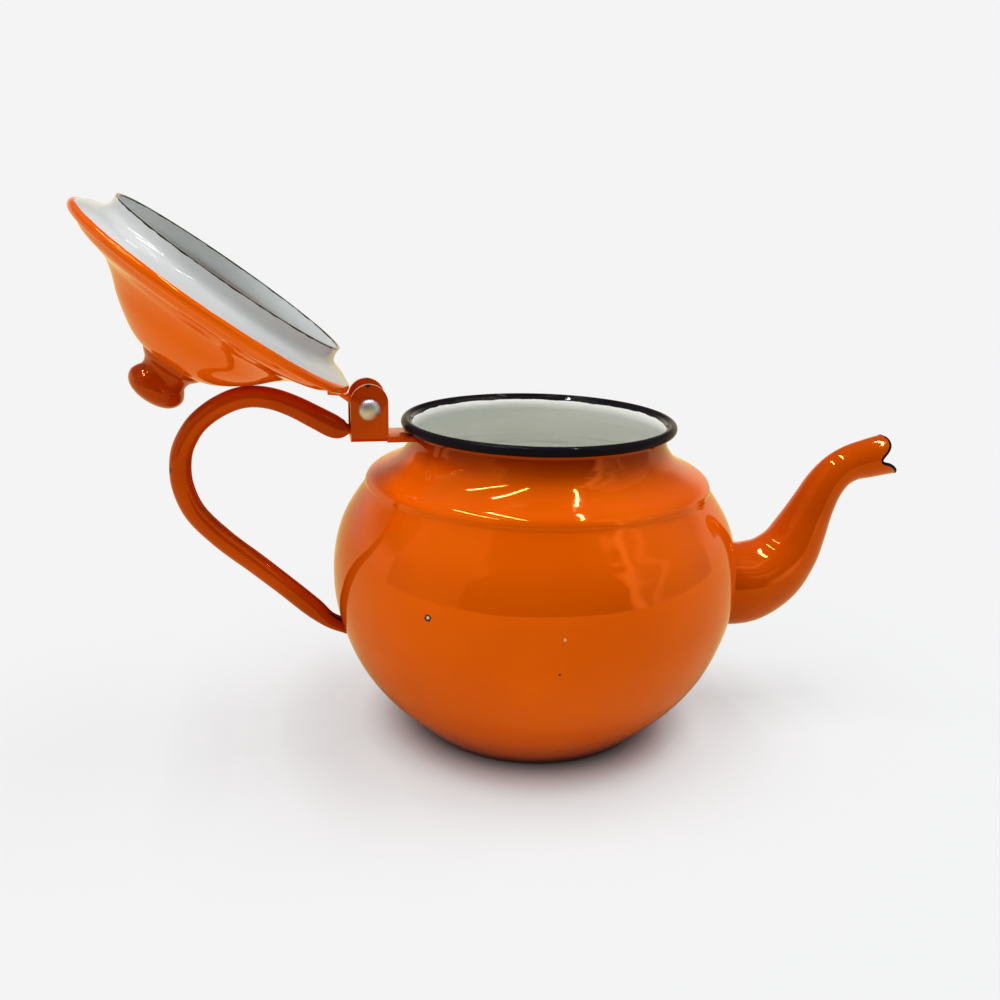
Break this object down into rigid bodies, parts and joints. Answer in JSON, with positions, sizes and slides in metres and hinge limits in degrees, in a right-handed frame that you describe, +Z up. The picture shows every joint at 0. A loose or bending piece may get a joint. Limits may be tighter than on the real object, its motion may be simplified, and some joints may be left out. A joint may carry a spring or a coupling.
{
  "type": "teapot",
  "caption": "Round-bellied enamelled teapot with an S-curved spout, a bent loop handle and a domed lid that swings back on a riveted hinge.",
  "frame": {"origin": "centre of the pot's round base, on the surface it stands on", "axes": "+Z up along the pot's axis, +X towards the spout, the hinge and the handle at -X"},
  "size_m": [0.2714, 0.1356, 0.1739],
  "materials": {
    "orange_enamel": "gloss vitreous enamel on steel",
    "white_enamel": "gloss vitreous enamel on steel",
    "rivet_aluminium": "worn satin"
  },
  "bodies": {
    "pot": {"body_shell": "orange_enamel", "spout_near_half": "orange_enamel", "spout_far_half": "orange_enamel", "handle": "orange_enamel", "hinge_bracket": "orange_enamel", "hinge_rivet": "rivet_aluminium"},
    "lid": {"lid_dome": "orange_enamel", "lid_collar": "white_enamel", "lid_knob": "orange_enamel", "lid_hinge_leaf": "orange_enamel"}
  },
  "joints": [
    {"name": "lid_hinge", "type": "hinge", "parent": "pot", "child": "lid", "pos_m": [-0.056, 0, 0.1107], "axis": [0, 1, 0], "range_deg": [0, 144.4]}
  ]
}
